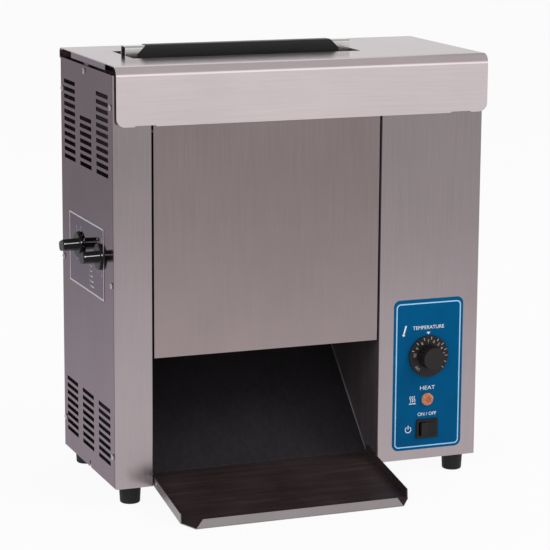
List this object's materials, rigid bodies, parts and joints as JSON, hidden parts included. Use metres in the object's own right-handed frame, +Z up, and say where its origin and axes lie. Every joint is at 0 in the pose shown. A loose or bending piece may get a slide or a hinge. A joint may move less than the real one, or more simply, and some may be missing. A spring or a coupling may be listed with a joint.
{
  "type": "vertical contact toaster",
  "caption": "Countertop bun toaster: halves drop through a slotted hood, pass a standing heated platen between wire belts and slide down a chute onto a front tray.",
  "frame": {"origin": "centre of the bounding box in plan, on the plane of the feet's soles", "axes": "+X to the right seen from the front (towards the controls), +Y to the back, +Z up"},
  "size_m": [0.5688, 0.3928, 0.6166],
  "materials": {
    "cabinet_steel": "satin",
    "hood_steel": "brushed",
    "inner_steel": "satin",
    "screw_steel": "polished",
    "tray_steel": "satin",
    "bay_dark": "satin",
    "chute_black": "satin",
    "platen_aluminium": "cast",
    "cap_steel": "bright",
    "release_black": "woven",
    "heater_steel": "satin",
    "frame_steel": "satin",
    "belt_steel": "bright",
    "roller_steel": "satin",
    "bush_brass": "satin",
    "gear_steel": "machined",
    "motor_paint": "satin",
    "foot_rubber": "matte",
    "knob_black": "satin",
    "plate_grey": "satin",
    "overlay_blue": "satin",
    "lamp_amber": "gloss",
    "switch_black": "gloss",
    "fan_black": "matte",
    "terminal_cream": "matte"
  },
  "bodies": {
    "cabinet": {"base_pan": "inner_steel", "foot_front_left": "foot_rubber", "foot_front_right": "foot_rubber", "foot_rear_left": "foot_rubber", "foot_rear_right": "foot_rubber", "left_side_cover": "cabinet_steel", "right_side_cover": "cabinet_steel", "left_stile": "cabinet_steel", "control_panel": "cabinet_steel", "rear_panel": "inner_steel", "bay_left_wall": "bay_dark", "bay_right_wall": "bay_dark", "left_hood_bracket": "inner_steel", "right_hood_bracket": "inner_steel", "cover_screws_left": "screw_steel", "cover_screws_right": "screw_steel", "front_cover_pins": "screw_steel", "chute": "chute_black", "platen": "platen_aluminium", "heating_elements": "heater_steel", "platen_cap": "cap_steel", "release_sheet": "release_black", "front_drive_bush_left": "bush_brass", "front_drive_bush_right": "bush_brass", "rear_drive_bush_left": "bush_brass", "rear_drive_bush_right": "bush_brass", "gearmotor": "motor_paint", "knob_plate": "plate_grey", "control_overlay": "overlay_blue", "thermostat": "terminal_cream", "pilot_lamp": "lamp_amber", "rocker_housing": "switch_black", "fan_housing": "fan_black", "fan_screws": "screw_steel", "terminal_block": "terminal_cream", "cord_gland": "fan_black"},
    "hood": {"hood": "hood_steel"},
    "front_cover": {"front_cover": "cabinet_steel"},
    "landing_tray": {"landing_tray": "tray_steel"},
    "front_conveyor": {"front_conveyor_frame": "frame_steel", "front_slider_plate": "frame_steel", "front_wire_belt": "belt_steel"},
    "rear_conveyor": {"rear_conveyor_frame": "frame_steel", "rear_slider_plate": "frame_steel", "rear_wire_belt": "belt_steel"},
    "front_drive": {"front_drive_roller": "roller_steel", "front_drive_gear": "gear_steel"},
    "rear_drive": {"rear_drive_roller": "roller_steel", "rear_drive_gear": "gear_steel"},
    "front_idler": {"front_idler_roller": "roller_steel"},
    "rear_idler": {"rear_idler_roller": "roller_steel"},
    "front_knob": {"front_compression_knob": "knob_black", "front_cam_shaft": "gear_steel"},
    "rear_knob": {"rear_compression_knob": "knob_black", "rear_cam_shaft": "gear_steel"},
    "motor_gear": {"motor_gear": "gear_steel"},
    "idler_gear": {"idler_gear": "gear_steel"},
    "thermostat_knob": {"thermostat_knob": "knob_black"},
    "power_rocker": {"power_rocker": "switch_black"},
    "fan_rotor": {"fan_rotor": "fan_black"}
  },
  "joints": [
    {"name": "hood_lift", "type": "slide", "parent": "cabinet", "child": "hood", "axis": [0, 0, 1], "range_m": [0, 0.12]},
    {"name": "door_swing", "type": "hinge", "parent": "cabinet", "child": "front_cover", "pos_m": [-0.03725, -0.0593, 0.514], "axis": [-1, 0, 0], "range_deg": [0, 70]},
    {"name": "tray_slide", "type": "slide", "parent": "cabinet", "child": "landing_tray", "axis": [0, -1, 0], "range_m": [0, 0.16]},
    {"name": "front_conveyor_tilt", "type": "hinge", "parent": "cabinet", "child": "front_conveyor", "pos_m": [-0.03725, -0.0083, 0.56], "axis": [1, 0, 0], "range_deg": [0, 3.5]},
    {"name": "rear_conveyor_tilt", "type": "hinge", "parent": "cabinet", "child": "rear_conveyor", "pos_m": [-0.03725, 0.1277, 0.56], "axis": [-1, 0, 0], "range_deg": [0, 3.5]},
    {"name": "front_drive_spin", "type": "hinge", "parent": "cabinet", "child": "front_drive", "pos_m": [-0.03725, -0.0083, 0.56], "axis": [1, 0, 0], "continuous": true},
    {"name": "rear_drive_spin", "type": "hinge", "parent": "cabinet", "child": "rear_drive", "pos_m": [-0.03725, 0.1277, 0.56], "axis": [1, 0, 0], "continuous": true},
    {"name": "front_idler_spin", "type": "hinge", "parent": "front_conveyor", "child": "front_idler", "pos_m": [-0.03725, -0.0083, 0.262], "axis": [1, 0, 0], "continuous": true},
    {"name": "rear_idler_spin", "type": "hinge", "parent": "rear_conveyor", "child": "rear_idler", "pos_m": [-0.03725, 0.1277, 0.262], "axis": [1, 0, 0], "continuous": true},
    {"name": "motor_gear_spin", "type": "hinge", "parent": "cabinet", "child": "motor_gear", "pos_m": [0.13695, 0.03703, 0.56], "axis": [1, 0, 0], "continuous": true},
    {"name": "idler_gear_spin", "type": "hinge", "parent": "cabinet", "child": "idler_gear", "pos_m": [0.13695, 0.08237, 0.56], "axis": [1, 0, 0], "continuous": true},
    {"name": "front_knob_turn", "type": "hinge", "parent": "cabinet", "child": "front_knob", "pos_m": [-0.25745, -0.0023, 0.3365], "axis": [1, 0, 0], "range_deg": [0, 240]},
    {"name": "rear_knob_turn", "type": "hinge", "parent": "cabinet", "child": "rear_knob", "pos_m": [-0.25745, 0.0957, 0.3365], "axis": [1, 0, 0], "range_deg": [0, 240]},
    {"name": "thermostat_turn", "type": "hinge", "parent": "cabinet", "child": "thermostat_knob", "pos_m": [0.20605, -0.0663, 0.175], "axis": [0, 1, 0], "range_deg": [0, 280]},
    {"name": "rocker_press", "type": "hinge", "parent": "cabinet", "child": "power_rocker", "pos_m": [0.20605, -0.0623, 0.069], "axis": [0, 0, -1], "range_deg": [0, 14]},
    {"name": "fan_spin", "type": "hinge", "parent": "cabinet", "child": "fan_rotor", "pos_m": [0.20605, 0.1811, 0.14], "axis": [0, 1, 0], "continuous": true}
  ],
  "couplings": [
    {"joint": "front_knob_turn", "follows": "front_conveyor_tilt", "ratio": 68.57},
    {"joint": "rear_knob_turn", "follows": "rear_conveyor_tilt", "ratio": 68.57},
    {"joint": "front_idler_spin", "follows": "front_drive_spin", "ratio": 1},
    {"joint": "rear_drive_spin", "follows": "front_drive_spin", "ratio": -1},
    {"joint": "rear_idler_spin", "follows": "front_drive_spin", "ratio": -1},
    {"joint": "motor_gear_spin", "follows": "front_drive_spin", "ratio": -1},
    {"joint": "idler_gear_spin", "follows": "front_drive_spin", "ratio": 1}
  ]
}
